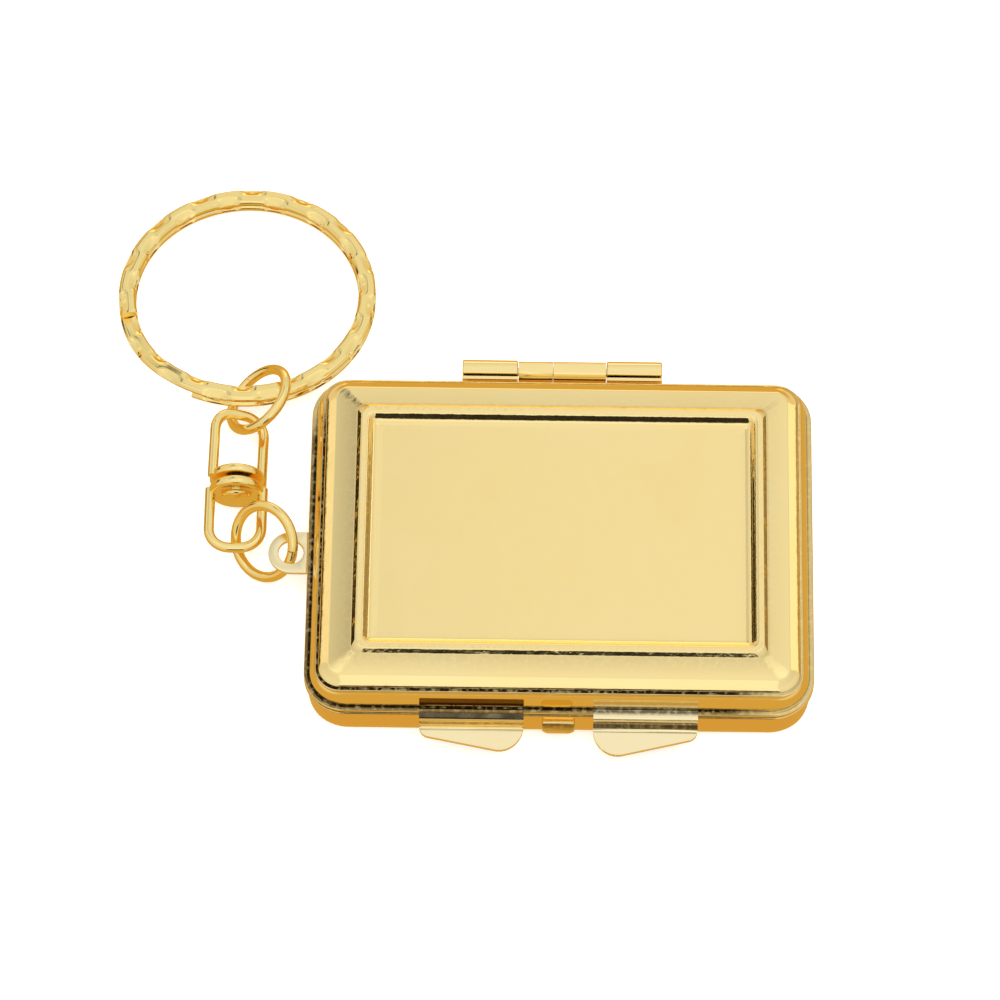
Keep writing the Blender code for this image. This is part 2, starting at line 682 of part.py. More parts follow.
def build():
    make_base_shell()
    lid = make_lid_shell()
    cut_pockets(lid)
    make_base_leaf()
    lid_leaf = make_lid_leaf()
    make_hinge_pin()
    lid_tab = make_lid_tab()
    make_base_tab()
    make_catch_nose()
    spring = make_catch_spring()
    make_key_lug()
    make_tray()
    pad_low = FLOOR_T + CLEAR
    make_slab("tray_pad", 18 * MM, 12 * MM, 2 * MM, pad_low, pad_low + PAD_T, PAD_WHITE, 0.8, 0.0)
    mirror_top = PANEL_Z - PANEL_T - CLEAR - PAD_T - CLEAR
    mirror = make_slab("mirror", 21.0 * MM, 14.0 * MM, 2 * MM, mirror_top - MIRROR_T, mirror_top,
                       MIRROR_GREY, 0.02, 1.0)
    pad_low = mirror_top + CLEAR
    pad = make_slab("mirror_pad", 18 * MM, 11.5 * MM, 2 * MM, pad_low, pad_low + PAD_T, PAD_WHITE, 0.8, 0.0)
    hinge = joint_empty("lid_axis", (0.0, HINGE_Y, HINGE_Z))
    for piece in (lid, lid_leaf, lid_tab, spring, mirror, pad):
        put_under(piece, hinge)
    make_jump_ring("lower_jump_ring", LOWER_JUMP_AT, LOWER_JUMP_AXIS)
    make_eye("swivel_lower_eye", LOWER_EYE_L, -1, Euler((0.0, 0.0, 0.0)))
    make_rivet()
    lean = Matrix.Rotation(UPPER_EYE_LEAN, 3, "Z")
    roll = Matrix.Rotation(UPPER_EYE_ROLL, 3, "Y")
    make_eye("swivel_upper_eye", UPPER_EYE_L, 1, (lean @ roll).to_euler())
    make_jump_ring("upper_jump_ring", UPPER_JUMP_AT, UPPER_JUMP_AXIS)
    make_split_ring()


build()
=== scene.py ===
# Pocket pill box of stamped, gold plated metal on a swivel chain with a split ring.
# Lengths are typed in millimetres and turned to metres by mm.
from math import atan2, cos, pi, radians, sin

import bmesh
import bpy
from mathutils import Euler, Matrix, Vector


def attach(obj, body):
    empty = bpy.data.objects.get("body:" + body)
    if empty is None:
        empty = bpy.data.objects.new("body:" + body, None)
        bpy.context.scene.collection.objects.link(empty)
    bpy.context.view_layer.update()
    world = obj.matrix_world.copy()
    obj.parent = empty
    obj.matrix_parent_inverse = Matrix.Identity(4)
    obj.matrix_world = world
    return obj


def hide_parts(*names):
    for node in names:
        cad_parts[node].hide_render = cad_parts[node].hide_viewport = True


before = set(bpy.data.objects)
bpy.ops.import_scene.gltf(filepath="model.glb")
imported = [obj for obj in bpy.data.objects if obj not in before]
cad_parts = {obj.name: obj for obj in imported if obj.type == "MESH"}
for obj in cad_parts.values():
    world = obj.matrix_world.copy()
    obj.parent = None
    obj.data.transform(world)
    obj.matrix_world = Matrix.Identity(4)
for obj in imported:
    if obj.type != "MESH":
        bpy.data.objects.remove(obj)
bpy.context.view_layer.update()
mm = 0.001

# ---- small helpers


def toLinear(hexColour):
    channels = [int(hexColour[i:i + 2], 16) / 255 for i in (1, 3, 5)]
    return tuple(c / 12.92 if c <= 0.04045 else ((c + 0.055) / 1.055) ** 2.4 for c in channels) + (1.0,)


def addNode(tree, kind, links=None, **settings):
    # links maps an input's name or number to a value or to another node's output
    node = tree.nodes.new(kind)
    for key, value in settings.items():
        setattr(node, key, value)
    for key, value in (links or {}).items():
        if isinstance(value, bpy.types.NodeSocket):
            tree.links.new(value, node.inputs[key])
        else:
            node.inputs[key].default_value = value
    return node


def maths(tree, operation, a, b=None):
    return addNode(tree, "ShaderNodeMath", {0: a} if b is None else {0: a, 1: b},
                   operation=operation).outputs[0]


def spread(tree, value, source, target, **settings):
    # maps the range source to the range target
    links = {"Value": value, "From Min": source[0], "From Max": source[1], "To Min": target[0],
             "To Max": target[1]}
    return addNode(tree, "ShaderNodeMapRange", links, **settings).outputs[0]


def noise(tree, place, size, **more):
    # size is in millimetres
    return addNode(tree, "ShaderNodeTexNoise", {"Vector": place, "Scale": 1 / (size * mm),
                                                **more}).outputs["Fac"]


def bump(tree, height, depth, **more):
    links = {"Height": height, "Strength": 1.0, "Distance": depth * mm, **more}
    return addNode(tree, "ShaderNodeBump", links).outputs["Normal"]


def blend(tree, amount, first, second):
    return addNode(tree, "ShaderNodeMix", {0: amount, 6: first, 7: second}, data_type="RGBA").outputs[2]


def newObject(name, mesh):
    piece = bpy.data.objects.new(name, mesh)
    bpy.context.scene.collection.objects.link(piece)
    return piece


def meshPiece(name, bm, material=None):
    bmesh.ops.remove_doubles(bm, verts=bm.verts, dist=0.0005 * mm)
    bmesh.ops.recalc_face_normals(bm, faces=bm.faces)
    mesh = bpy.data.meshes.new(name)
    bm.to_mesh(mesh)
    bm.free()
    if material:
        mesh.materials.append(material)
    return newObject(name, mesh)


def capped(bm, rings):
    # joins each closed outline to the next and closes both ends
    count = len(rings[0])
    for a, b in zip(rings, rings[1:]):
        for i in range(count):
            j = (i + 1) % count
            bm.faces.new((a[i], a[j], b[j], b[i]))
    bm.faces.new(rings[0])
    bm.faces.new(rings[-1])


def applyAll(piece):
    # the evaluated mesh takes the place of the live modifiers
    bpy.context.view_layer.update()
    evaluated = piece.evaluated_get(bpy.context.evaluated_depsgraph_get())
    mesh = bpy.data.meshes.new_from_object(evaluated)
    mesh.transform(piece.matrix_world)
    name = piece.name
    old = piece.data
    bpy.data.objects.remove(piece, do_unlink=True)
    if isinstance(old, bpy.types.Mesh) and old.users == 0:
        bpy.data.meshes.remove(old)
    mesh.name = name
    return newObject(name, mesh)


def roundEdges(piece, width, segments=3, angle=40.0):
    bevel = piece.modifiers.new("rounded edges", "BEVEL")
    bevel.width = width * mm
    bevel.segments = segments
    bevel.limit_method = "ANGLE"
    bevel.angle_limit = radians(angle)
    piece.data.shade_smooth()
    even = piece.modifiers.new("even shading", "WEIGHTED_NORMAL")
    even.weight = 100
    return piece


def smooth(piece, angle=35.0):
    piece.data.shade_smooth()
    piece.data.set_sharp_from_angle(angle=radians(angle))
    return piece


def cutWith(piece, cutter, operation="DIFFERENCE"):
    cut = piece.modifiers.new(operation.lower(), "BOOLEAN")
    cut.operation = operation
    cut.object = cutter
    cut.solver = "EXACT"
    cut.use_self = operation == "INTERSECT"
    cut.material_mode = "TRANSFER"


def dropAll(objects):
    for item in objects:
        bpy.data.objects.remove(item, do_unlink=True)


def settle(piece, body, nodes=()):
    # the finished piece rides on its body and stands for its CAD nodes
    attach(piece, body)
    if nodes:
        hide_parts(*nodes)
    return piece


# ---- finishes


def newFinish(name, metallic):
    material = bpy.data.materials.new(name)
    material.use_nodes = True
    tree = material.node_tree
    shader = tree.nodes["Principled BSDF"]
    shader.inputs["Metallic"].default_value = metallic
    place = addNode(tree, "ShaderNodeTexCoord").outputs["Object"]
    return material, tree, shader, place


def platedGold(name, look):
    # Brass sheet or wire, stamped, tumbled bright and electroplated with gold. The eye gets a mirror that
    # isn't quite flat: long soft waves from the press, tighter ones where the metal was drawn round an
    # edge, a faint haze that comes and goes, and painted shade, dark brown in patches, in the creases.
    material, tree, shader, place = newFinish(name, 1.0)
    cloud = noise(tree, place, look["cloud"], Detail=3.0, Roughness=0.55)
    tint = blend(tree, cloud, toLinear(look["gold"]), toLinear(look["pale"]))
    # painted shade: the crease attribute, broken into patches by noise, mixes the colour towards dark brown
    crease = addNode(tree, "ShaderNodeAttribute", attribute_name="crease").outputs["Fac"]
    shadePatches = spread(tree, noise(tree, place, look["shadePatchSize"], Detail=2.0), (0.36, 0.52), (0.72, 1.0))
    shadedTint = blend(tree, maths(tree, "MULTIPLY", crease, shadePatches), tint, toLinear(look["shadeColour"]))
    tree.links.new(shadedTint, shader.inputs["Base Color"])
    haze = noise(tree, place, look["haze"], Detail=5.0, Roughness=0.6)
    tree.links.new(spread(tree, haze, (0.3, 0.7), look["rough"]), shader.inputs["Roughness"])
    pressed = bump(tree, noise(tree, place, look["wave"], Detail=1.0), look["waveHeight"])
    worked = addNode(tree, "ShaderNodeAttribute", attribute_name="worked").outputs["Fac"]
    ripple = maths(tree, "MULTIPLY", noise(tree, place, look["ripple"], Detail=2.0), worked)
    drawn = bump(tree, ripple, look["rippleHeight"], Normal=pressed)
    # polishing lines run along X: the noise is stretched thirty times that way
    lines = addNode(tree, "ShaderNodeMapping", {"Vector": place, "Scale": (0.03, 1.0, 1.0)}).outputs[0]
    polish = bump(tree, noise(tree, lines, look["line"], Detail=2.0), look["lineDepth"], Normal=drawn)
    tree.links.new(polish, shader.inputs["Normal"])
    return material


def goldLook(**changes):
    look = {"gold": "#FFE39C", "pale": "#FFE9AC", "shadeColour": "#2A1A08", "cloud": 9.0, "shadePatchSize": 0.5, "haze": 1.6,
            "rough": (0.07, 0.13), "wave": 7.0, "waveHeight": 0.012, "ripple": 0.7, "rippleHeight": 0.03,
            "line": 0.22, "lineDepth": 0.0004}
    look.update(changes)
    return look


def mouldedPlastic(name, colour, rough, grain, grainDepth):
    # Injection moulded styrene or cast foam: soft, slightly uneven sheen and a fine skin.
    material, tree, shader, place = newFinish(name, 0.0)
    mottle = noise(tree, place, 6, Detail=4.0)
    tone = blend(tree, mottle, toLinear(colour[0]), toLinear(colour[1]))
    tree.links.new(tone, shader.inputs["Base Color"])
    tree.links.new(spread(tree, mottle, (0.0, 1.0), rough), shader.inputs["Roughness"])
    shader.inputs["IOR"].default_value = 1.55
    skin = bump(tree, noise(tree, place, grain, Detail=3.0), grainDepth)
    tree.links.new(skin, shader.inputs["Normal"])
    return material


def silveredGlass(name):
    # Float glass silvered on its back: a clean mirror with the faintest smear of handling.
    material, tree, shader, place = newFinish(name, 1.0)
    smear = noise(tree, place, 8, Detail=5.0)
    tree.links.new(spread(tree, smear, (0.45, 1.0), (0.01, 0.08)), shader.inputs["Roughness"])
    tree.links.new(blend(tree, smear, toLinear("#E3E8EA"), toLinear("#EEF1F0")), shader.inputs["Base Color"])
    return material


def springSteel(name):
    # Rolled spring strip: fine lines along its length and a straw tint from hardening.
    material, tree, shader, place = newFinish(name, 1.0)
    stretched = addNode(tree, "ShaderNodeMapping", {"Vector": place, "Scale": (0.05, 1.0, 1.0)}).outputs[0]
    rolled = noise(tree, stretched, 0.15, Detail=3.0)
    tree.links.new(blend(tree, rolled, toLinear("#B9AE94"), toLinear("#D8D0BC")), shader.inputs["Base Color"])
    tree.links.new(spread(tree, rolled, (0.0, 1.0), (0.22, 0.36)), shader.inputs["Roughness"])
    tree.links.new(bump(tree, rolled, 0.001), shader.inputs["Normal"])
    return material


stampedGold = platedGold("stamped gold plate", goldLook())
# painted reflection: a deeper gold for the case wall stands in for the warm, shaded floor it mirrors
caseGold = platedGold("case wall gold with painted warm reflection", goldLook(gold="#FFD98A", pale="#FFE09A"))
tabGold = platedGold("pressed gold plate of the tabs", goldLook(gold="#FFEBB8", pale="#FFF0C8", wave=3.0))
wireGold = platedGold("gold plated wire", goldLook(gold="#FFDF8A", pale="#FFEBA8", wave=2.2, waveHeight=0.008,
                                                  rough=(0.10, 0.18), line=0.12))
lugGold = platedGold("pale gold plate of the lug", goldLook(gold="#FBE9B4", pale="#FDEFC8",
                                                            rough=(0.18, 0.26)))
# painted shade: a dark gold for the pocket walls, which lie in shade
shadedGold = platedGold("painted shade gold in the pockets", goldLook(gold="#6E4A18", pale="#8A6220",
                                                             rough=(0.2, 0.35)))
amberGold = platedGold("amber gold in the catch pocket", goldLook(gold="#F4CC66", pale="#F8D67C"))
trayPlastic = mouldedPlastic("white moulded styrene", ("#C9C7C0", "#D3D1CA"), (0.28, 0.4), 0.12, 0.0012)
padFoam = mouldedPlastic("white adhesive foam", ("#D6D4CC", "#E2E0D9"), (0.7, 0.9), 0.25, 0.02)
mirrorGlass = silveredGlass("silvered glass")
springStrip = springSteel("hardened spring strip")
print("finishes made")

# ---- stamped shells: closed lofts through rounded rectangles

# the last two entries weaken the painted crease shade near the right side and the back
case = {"width": 50.0, "depth": 37.0, "cornerSteps": 14, "edgeSteps": 10, "lighterWithin": 4.5,
        "lighterShadeLevel": 0.35}


def rectPoints(inset, corner):
    # anticlockwise from above, with points along the sides so that faces stay short
    steps, edgeSteps = case["cornerSteps"], case["edgeSteps"]
    hw = case["width"] / 2 - inset
    hd = case["depth"] / 2 - inset
    r = max(min(corner, hw, hd), 0.02)
    arcs = []
    for quarter, (sx, sy) in enumerate(((1, 1), (-1, 1), (-1, -1), (1, -1))):
        arc = []
        for step in range(steps + 1):
            a = (quarter + step / steps) * pi / 2
            arc.append((sx * (hw - r) + r * cos(a), sy * (hd - r) + r * sin(a)))
        arcs.append(arc)
    points = []
    for i, arc in enumerate(arcs):
        points += arc
        x0, y0 = arc[-1]
        x1, y1 = arcs[(i + 1) % 4][0]
        for step in range(1, edgeSteps):
            t = step / edgeSteps
            points.append((x0 + (x1 - x0) * t, y0 + (y1 - y0) * t))
    return points


def softPath(points, steps=4):
    # rounds each corner of a section; a point is (inset, height, rounding, corner radius, painted crease
    # shade, worked)
    # an extra point just outside each rounding keeps its shading off the flats
    path = []
    guard = 0.06
    last = len(points) - 1
    for i, point in enumerate(points):
        here = Vector(point[:2])
        if i in (0, last) or point[2] == 0:
            path.append((*point[:2], *point[3:]))
            continue
        before = Vector(points[i - 1][:2]) - here
        after = Vector(points[i + 1][:2]) - here
        a = here + before * min(point[2] / before.length, 0.48)
        b = here + after * min(point[2] / after.length, 0.48)
        path.append((*(a + before * guard), *point[3:]))
        for step in range(steps + 1):
            t = step / steps
            p = a * (1 - t) ** 2 + here * 2 * t * (1 - t) + b * t ** 2
            path.append((*p, *point[3:]))
        path.append((*(b + after * guard), *point[3:]))
    return path


def shell(name, section, material):
    lighterX = case["width"] / 2 - case["lighterWithin"]
    lighterY = case["depth"] / 2 - case["lighterWithin"]
    bm = bmesh.new()
    # painted shade: each ring's crease value darkens the plating colour there
    crease = bm.verts.layers.float.new("crease")
    worked = bm.verts.layers.float.new("worked")
    rings = []
    for inset, height, corner, shadeDepth, rough in section:
        ring = []
        for x, y in rectPoints(inset, corner):
            vert = bm.verts.new((x * mm, y * mm, height * mm))
            # the painted crease shade is weaker towards the right side and the back
            vert[crease] = shadeDepth * (case["lighterShadeLevel"] if x > lighterX or y > lighterY else 1.0)
            vert[worked] = rough
            ring.append(vert)
        rings.append(ring)
    capped(bm, rings)
    return meshPiece(name, bm, material)


lidSizes = {"rim": 5.0, "crease": 7.4, "shoulder": 8.3, "slope": 8.64, "ridge": 9.05, "panel": 8.25,
            "sheet": 0.4}


def lidSection(s):
    # outside, from the sunk panel out over the ridge, the slope and the shoulder and down the flared skirt
    outside = [
        (7.2, s["panel"], 0.0, 0.15, 0, 0), (6.4, s["panel"], 0.42, 0.3, 0, 0.5),
        (5.78, 8.95, 0.12, 0.7, 0, 1.0), (5.6, s["ridge"], 0.12, 0.9, 0, 0.6),
        (5.06, s["ridge"], 0.08, 1.0, 0, 1.0),
        (4.62, s["slope"], 0.09, 0.8, 0.2, 1.0), (2.5, s["shoulder"], 0.1, 1.4, 0, 0.2),
        (1.56, 7.66, 0.3, 2.2, 0, 0.4), (1.46, s["crease"] + 0.1, 0.05, 2.3, 1.0, 1.0),
        (1.3, s["crease"], 0.04, 2.4, 1.0, 1.0), (1.18, s["crease"] - 0.06, 0.04, 2.5, 0.2, 1.0),
        (0.86, 6.85, 0.25, 3.0, 0, 0.3), (0.62, 6.2, 0.3, 3.5, 0, 0.3),
        (0.52, 5.62, 0.05, 3.7, 0.5, 1.0), (0.5, 5.5, 0.04, 3.7, 1.0, 1.0), (0.42, 5.42, 0.04, 3.8, 1.0, 1.0),
        (0.16, 5.42, 0.08, 4.05, 0.8, 1.0), (0.0, 5.3, 0.1, 4.2, 0, 0.6),
        (0.0, s["rim"] + 0.02, 0.16, 4.2, 0, 0.6), (0.6, s["rim"], 0.1, 3.6, 0.5, 0),
    ]
    # inside of the sheet, back up to the underside of the panel
    under = s["panel"] - s["sheet"]
    inside = [
        (0.9, 5.3, 0.1, 3.3, 0, 0), (1.05, 6.2, 0.2, 3.15, 0, 0), (1.75, 7.3, 0.2, 2.6, 0, 0),
        (2.4, under, 0.3, 2.0, 0, 0), (5.6, under, 0.0, 1.0, 0, 0), (7.3, under, 0.0, 0.6, 0, 0),
    ]
    return softPath(list(reversed(outside + inside)))


pockets = {"y": -17.88, "z": 6.24, "halfHigh": 0.5, "clearOfSkirt": 1.2, "tilt": 20.0, "left": (-13.6, -3.4),
           "right": (3.4, 13.6), "catch": (-1.7, 1.35)}


def skirtPocket(name, span, material, depth, ends):
    # a rounded slot that leans with the skirt
    bm = bmesh.new()
    x0, x1 = span
    low, high = -pockets["halfHigh"], pockets["halfHigh"]
    outline = []
    for cx, start in ((x1 - ends, -90), (x1 - ends, 0), (x0 + ends, 90), (x0 + ends, 180)):
        cz = low + ends if start in (-90, 180) else high - ends
        for step in range(7):
            a = radians(start + 90 * step / 6)
            outline.append((cx + ends * cos(a), cz + ends * sin(a)))
    lean = Matrix.Rotation(radians(-pockets["tilt"]), 3, "X")
    centre = Vector((0, pockets["y"], pockets["z"]))
    rings = []
    for y in (-pockets["clearOfSkirt"], depth):
        rings.append([bm.verts.new((lean @ Vector((x, y, z)) + centre) * mm) for x, z in outline])
    capped(bm, rings)
    return meshPiece(name, bm, material)


def makeLid():
    lid = shell("lidShell", lidSection(lidSizes), stampedGold)
    # the side pockets' walls take the dark painted shade gold
    cutters = [skirtPocket("leftPocket", pockets["left"], shadedGold, 0.28, 0.12),
               skirtPocket("rightPocket", pockets["right"], shadedGold, 0.28, 0.12),
               skirtPocket("catchPocket", pockets["catch"], amberGold, 0.22, 0.42)]
    for cutter in cutters:
        cutWith(lid, cutter)
    lid = applyAll(lid)
    dropAll(cutters)
    return settle(smooth(lid, 32), "lid", ["lid_shell"])


def makeBase():
    section = softPath([
        (3.4, 0.0, 0.0, 1.5, 0, 0), (0.36, 0.0, 1.4, 3.84, 0, 0.2), (0.36, 3.95, 0.15, 3.84, 0, 0.2),
        (0.0, 4.25, 0.12, 4.2, 0, 0.5), (0.0, 4.56, 0.1, 4.2, 0.1, 0.5), (0.14, 4.68, 0.06, 4.1, 0.7, 0.5),
        (0.8, 4.68, 0.12, 3.4, 0.5, 0),
        (0.95, 1.2, 0.8, 3.25, 0, 0), (3.4, 0.5, 0.0, 1.5, 0, 0)], 6)
    base = shell("baseShell", section, caseGold)
    return settle(smooth(base, 32), "base", ["base_shell"])


makeLid()
makeBase()
print("case made")

# ---- hinge

hinge = {"y": 19.9, "z": 4.85, "half": 10.05, "centreHalf": 4.4, "gap": 0.07, "seam": (-0.93, -0.9),
         "outerR": 1.15, "centreR": 1.05, "outerEnd": 0.14, "centreEnd": 0.04, "sheet": 0.34, "rolled": 300.0,
         "plateY": 18.45, "plateLow": 1.9, "plateHigh": 3.7, "plateInset": 0.4, "pinR": 0.4, "pinEnd": 0.1}


def rolledKnuckle(bm, x0, x1, radius, tail, endRound):
    # sheet rolled round the pin: the outline goes round the outside, back round the bore and along the tail
    inner = radius - hinge["sheet"]
    start, sweep, steps = radians(tail["leaves"]), radians(hinge["rolled"]), 40
    outer = [(radius * cos(start + sweep * k / steps), radius * sin(start + sweep * k / steps))
             for k in range(steps + 1)]
    bore = [(inner * cos(start + sweep * k / steps), inner * sin(start + sweep * k / steps))
            for k in range(steps, -1, -1)]
    away = Vector((sin(start), -cos(start)))
    foot = [Vector(bore[-1]) + away * tail["length"], Vector(outer[0]) + away * tail["length"]]
    outline = outer + bore + [tuple(p) for p in foot]
    rings = []
    for x, draw in ((x0, 1.0), (x0 + endRound * 0.3, 0.35), (x0 + endRound, 0.0), (x1 - endRound, 0.0),
                    (x1 - endRound * 0.3, 0.35), (x1, 1.0)):
        ring = []
        for k, (y, z) in enumerate(outline):
            shrink = 1 - draw * endRound / radius if k <= steps else 1.0
            ring.append(bm.verts.new((x * mm, (hinge["y"] + y * shrink) * mm,
                                      (hinge["z"] + z * shrink) * mm)))
        rings.append(ring)
    capped(bm, rings)


def block(bm, low, high):
    # eight corners in millimetres
    corners = [bm.verts.new((x * mm, y * mm, z * mm)) for x in (low[0], high[0]) for y in (low[1], high[1])
               for z in (low[2], high[2])]
    for face in ((0, 1, 3, 2), (4, 6, 7, 5), (0, 4, 5, 1), (2, 3, 7, 6), (0, 2, 6, 4), (1, 5, 7, 3)):
        bm.faces.new([corners[i] for i in face])


def makeHinge():
    h = hinge
    bm = bmesh.new()
    inner = h["centreHalf"] + h["gap"]
    for side in (-1, 1):
        x0, x1 = sorted((side * inner, side * h["half"]))
        rolledKnuckle(bm, x0, x1, h["outerR"], {"leaves": 190.0, "length": 1.0}, h["outerEnd"])
    plateHalf = h["half"] - h["plateInset"]
    block(bm, (-plateHalf, h["plateY"], h["plateLow"]), (plateHalf, h["plateY"] + h["sheet"], h["plateHigh"]))
    baseLeaf = applyAll(roundEdges(meshPiece("baseHingeLeaf", bm, stampedGold), 0.05, 2, 50))
    settle(baseLeaf, "base", ["base_hinge_leaf"])
    bm = bmesh.new()
    for x0, x1 in ((-h["centreHalf"], h["seam"][0]), (h["seam"][1], h["centreHalf"])):
        rolledKnuckle(bm, x0, x1, h["centreR"], {"leaves": 120.0, "length": 0.9}, h["centreEnd"])
    lidLeaf = applyAll(roundEdges(meshPiece("lidHingeLeaf", bm, stampedGold), 0.04, 2, 50))
    settle(lidLeaf, "lid", ["lid_hinge_leaf"])
    r, end, half = h["pinR"], h["pinEnd"], h["half"]
    profile = [(0, -half), (r - end, -half), (r, -half + end), (r, half - end), (r - end, half), (0, half)]
    place = Matrix.Translation(Vector((0, h["y"], h["z"])) * mm) @ Matrix.Rotation(pi / 2, 4, "Y")
    pin = turned("hingePin", profile, place, stampedGold, 24)
    settle(pin, "base", ["hinge_pin"])


def turned(name, profile, place, material, sides=48):
    # profile points are (radius, height) in millimetres, turned about Z and then put in place
    bm = bmesh.new()
    rings = []
    for r, z in profile:
        count = 1 if r == 0 else sides
        ring = []
        for k in range(count):
            a = 2 * pi * k / sides
            ring.append(bm.verts.new(place @ Vector((r * mm * cos(a), r * mm * sin(a), z * mm))))
        rings.append(ring)
    for a, b in zip(rings, rings[1:]):
        for k in range(sides):
            j = (k + 1) % sides
            corners = [a[k % len(a)], a[j % len(a)], b[j % len(b)], b[k % len(b)]]
            bm.faces.new(list(dict.fromkeys(corners)))
    return smooth(meshPiece(name, bm, material), 30)


makeHinge()
print("hinge made")

# ---- front furniture

# long is the reach of the left tab's inner side, then the right tab's; turnIn is in radians
tabs = {"inner": 3.4, "outer": 13.6, "front": -18.85, "behind": 3.0, "sheet": 0.4, "innerRound": 2.4,
        "outerRound": 1.0, "short": 1.45, "long": (2.75, 3.05), "turnIn": 0.16, "spare": 0.5}


def tabPlan(side):
    # outline of a thumb tab from above: short outer side, long round inner side
    t = tabs
    front = t["front"]
    reach = t["long"][side > 0]
    slope = (reach - t["short"]) / (t["outer"] - t["inner"])
    plan = [(t["inner"], front + t["behind"])]
    for step in range(17):
        a = pi + step / 16 * (pi / 2 + t["turnIn"])
        plan.append((t["inner"] + t["innerRound"] * (1 + cos(a)),
                     front - reach + t["innerRound"] * (1 + sin(a))))
    for step in range(11):
        a = 1.5 * pi + t["turnIn"] + step / 10 * (pi / 2 - t["turnIn"])
        plan.append((t["outer"] - t["outerRound"] * (1 - cos(a)),
                     front - t["short"] + t["outerRound"] * (1 + sin(a) - slope)))
    plan.append((t["outer"], front + t["behind"]))
    return [(side * x, y) for x, y in plan]


def sheetTab(name, side, path, material):
    # the bent strip is trimmed to its plan and its edges are broken
    bm = bmesh.new()
    smoothPath = softPath([(y, z, r, 0, 0, 0) for y, z, r in path], 6)
    section = []
    back = []
    for i, point in enumerate(smoothPath):
        before = Vector(smoothPath[max(i - 1, 0)][:2])
        after = Vector(smoothPath[min(i + 1, len(smoothPath) - 1)][:2])
        along = (after - before).normalized()
        section.append(Vector(point[:2]))
        back.append(Vector(point[:2]) + Vector((along.y, -along.x)) * tabs["sheet"])
    outline = section + back[::-1]
    x0, x1 = sorted((side * (tabs["inner"] - tabs["spare"]), side * (tabs["outer"] + tabs["spare"])))
    capped(bm, [[bm.verts.new((x * mm, p.x * mm, p.y * mm)) for p in outline] for x in (x0, x1)])
    tab = meshPiece(name, bm, material)
    bm = bmesh.new()
    plan = tabPlan(side)
    # the trimming shape passes the strip below and above
    capped(bm, [[bm.verts.new((x * mm, y * mm, z * mm)) for x, y in plan] for z in (-2.0, 9.0)])
    trim = meshPiece(name + "Trim", bm)
    cutWith(tab, trim, "INTERSECT")
    tab = roundEdges(applyAll(tab), 0.11, 3, 50)
    dropAll([trim])
    return applyAll(tab)


def paintShade(piece, shadeBands):
    # painted shade in the bends: (low, high, darkness) by height, in millimetres
    layer = piece.data.attributes.new("crease", "FLOAT", "POINT")
    for vert, entry in zip(piece.data.vertices, layer.data):
        entry.value = max([shadeDepth for low, high, shadeDepth in shadeBands if low * mm < vert.co.z < high * mm],
                          default=0.0)
    return piece


def makeTabs():
    y = -case["depth"] / 2
    # right tab: strip in the lid's pocket, over the rim, then out as a pad
    right = [(y - 4.2, 3.0, 0), (y - 1.6, 3.8, 0.5), (y - 0.95, 4.12, 0.4), (y - 0.72, 4.7, 0.3),
             (y - 0.66, 5.2, 0.15), (y - 0.5, 5.42, 0.2), (y + 0.36, 5.74, 0.25), (y + 0.5, 6.2, 0.2),
             (y + 0.68, 6.73, 0)]
    # painted shade in bands where the strip's bends fall dark
    shadeBands = [(4.2, 4.62, 0.75), (5.15, 5.34, 0.7), (5.62, 6.0, 0.85), (6.0, 6.9, 0.22)]
    tab = paintShade(sheetTab("lidThumbTab", 1, right, tabGold), shadeBands)
    settle(tab, "lid", ["lid_thumb_tab"])
    # left tab: a lip that curls up to the base's rim
    left = [(y - 4.2, 3.05, 0), (y - 1.6, 3.9, 0.5), (y - 0.97, 4.22, 0.4), (y - 0.9, 4.7, 0.2),
            (y - 0.86, 5.28, 0.25), (y - 0.3, 5.78, 0)]
    # painted shade across the lip's bend
    tab = paintShade(sheetTab("baseThumbTab", -1, left, tabGold), [(4.62, 5.0, 0.6)])
    settle(tab, "base", ["base_thumb_tab"])


# the last entry is a band of painted shade near the nib's top edge
nose = {"half": 1.6, "high": 3.96, "low": 1.62, "cut": 0.45, "wall": -18.14, "front": -18.96, "round": 0.2,
        "paintShade": (3.66, 3.86, 0.85)}


def makeNose():
    # a pressed nib on the base's front wall with its lower corners cut
    half, high, low, cut = nose["half"], nose["high"], nose["low"], nose["cut"]
    face = [(-half + cut, low), (half - cut, low), (half, low + cut), (half, high), (-half, high),
            (-half, low + cut)]
    bm = bmesh.new()
    capped(bm, [[bm.verts.new((x * mm, y * mm, z * mm)) for x, z in face] for y in (nose["wall"],
                                                                                    nose["front"])])
    nib = applyAll(roundEdges(meshPiece("catchNose", bm, stampedGold), nose["round"], 5, 30))
    settle(paintShade(nib, [nose["paintShade"]]), "base", ["catch_nose"])


def refined(name, node, material, width, body, segments=3, angle=40):
    # a merged copy of the CAD node with its edges broken
    bm = bmesh.new()
    bm.from_mesh(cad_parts[node].data)
    bmesh.ops.remove_doubles(bm, verts=bm.verts, dist=0.001 * mm)
    bmesh.ops.dissolve_limit(bm, angle_limit=radians(2), verts=bm.verts, edges=bm.edges)
    piece = roundEdges(meshPiece(name, bm, material), width, segments, angle)
    return settle(applyAll(piece), body, [node])


makeTabs()
makeNose()
refined("catchSpring", "catch_spring", springStrip, 0.05, "lid")
print("tabs and catch made")

# ---- chain: wires follow paths, so Geometry Nodes sweep them

jump = {"radius": 3.6, "wire": 0.52, "cut": 0.10}
eye = {"wire": 0.52, "halfWidth": 2.62, "corner": 2.1, "lower": 6.35, "upper": 7.3, "gap": 0.5, "disc": 2.75,
       "discThick": 0.9}


